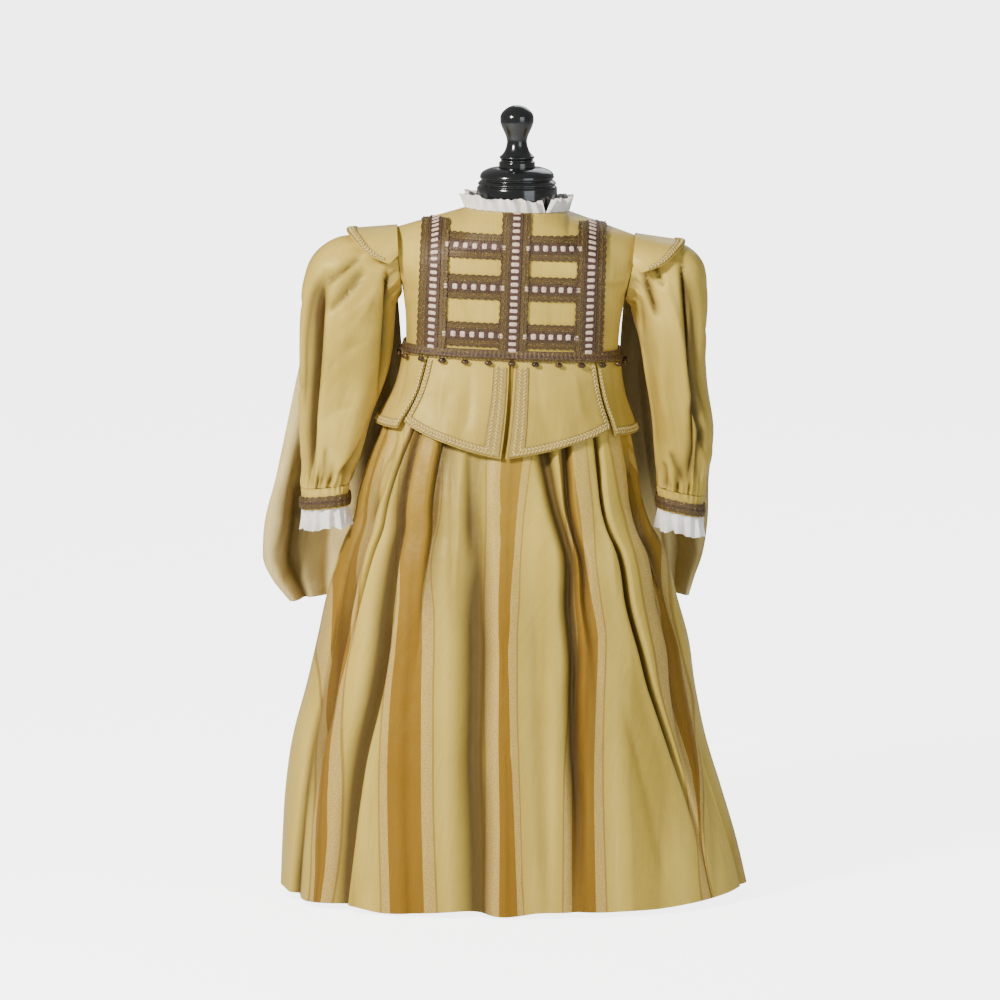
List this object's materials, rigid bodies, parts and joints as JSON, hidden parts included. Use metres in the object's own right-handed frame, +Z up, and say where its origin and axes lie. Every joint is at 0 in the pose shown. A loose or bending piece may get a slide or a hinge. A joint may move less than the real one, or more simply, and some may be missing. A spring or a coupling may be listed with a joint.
{
  "type": "tudor gown on a dress form",
  "caption": "Full-skirted gown with braided bodice, flared peplum, shoulder wings and frilled cuffs, on a limbless dress form with a turned neck and a round foot.",
  "frame": {"origin": "on the floor, under the middle of the gown's width and depth, in the plane of the base's underside", "axes": "+Z up, front of the gown towards -Y, the gown's left in the picture towards -X"},
  "size_m": [0.618, 0.3894, 1.009],
  "materials": {
    "silk": "dull gold silk taffeta",
    "striped_silk": "dull gold silk taffeta with darker gold and pale speckled stripes down the skirt",
    "metal_braid": "brown metal lace braid with olive edges and pale ribbon threaded through it",
    "cord_edging": "pale speckled corded edging",
    "white_frill": "gathered white cotton",
    "form_cover": "dark padded cloth cover",
    "black_lacquer": "black lacquered turned wood, worn in places"
  },
  "bodies": {
    "root": {"bar_row_1_left": "metal_braid", "bar_row_1_right": "metal_braid", "bar_row_2_left": "metal_braid", "bar_row_2_right": "metal_braid", "bar_row_3_left": "metal_braid", "bar_row_3_right": "metal_braid", "bodice_back_left": "silk", "bodice_back_right": "silk", "bodice_front_left": "silk", "bodice_front_right": "silk", "braid_centre": "metal_braid", "braid_left": "metal_braid", "braid_right": "metal_braid", "cuff_braid_left": "metal_braid", "cuff_braid_right": "metal_braid", "cuff_frill_left": "white_frill", "cuff_frill_right": "white_frill", "cuff_left": "silk", "cuff_right": "silk", "form_torso": "form_cover", "hanging_sleeve_left": "silk", "hanging_sleeve_right": "silk", "neck_block": "black_lacquer", "neck_finial": "black_lacquer", "neck_frill": "white_frill", "peplum_back_left": "silk", "peplum_back_right": "silk", "peplum_front_left": "silk", "peplum_front_right": "silk", "peplum_side_left": "silk", "peplum_side_right": "silk", "peplum_trim_back_left": "cord_edging", "peplum_trim_back_right": "cord_edging", "peplum_trim_front_left": "cord_edging", "peplum_trim_front_right": "cord_edging", "peplum_trim_side_left": "cord_edging", "peplum_trim_side_right": "cord_edging", "skirt_back": "striped_silk", "skirt_front": "striped_silk", "skirt_left": "striped_silk", "skirt_right": "striped_silk", "sleeve_left": "silk", "sleeve_right": "silk", "stand_base": "black_lacquer", "stand_pole": "black_lacquer", "waist_braid": "metal_braid", "wing_left": "silk", "wing_right": "silk", "wing_trim_left": "cord_edging", "wing_trim_right": "cord_edging"}
  },
  "joints": []
}
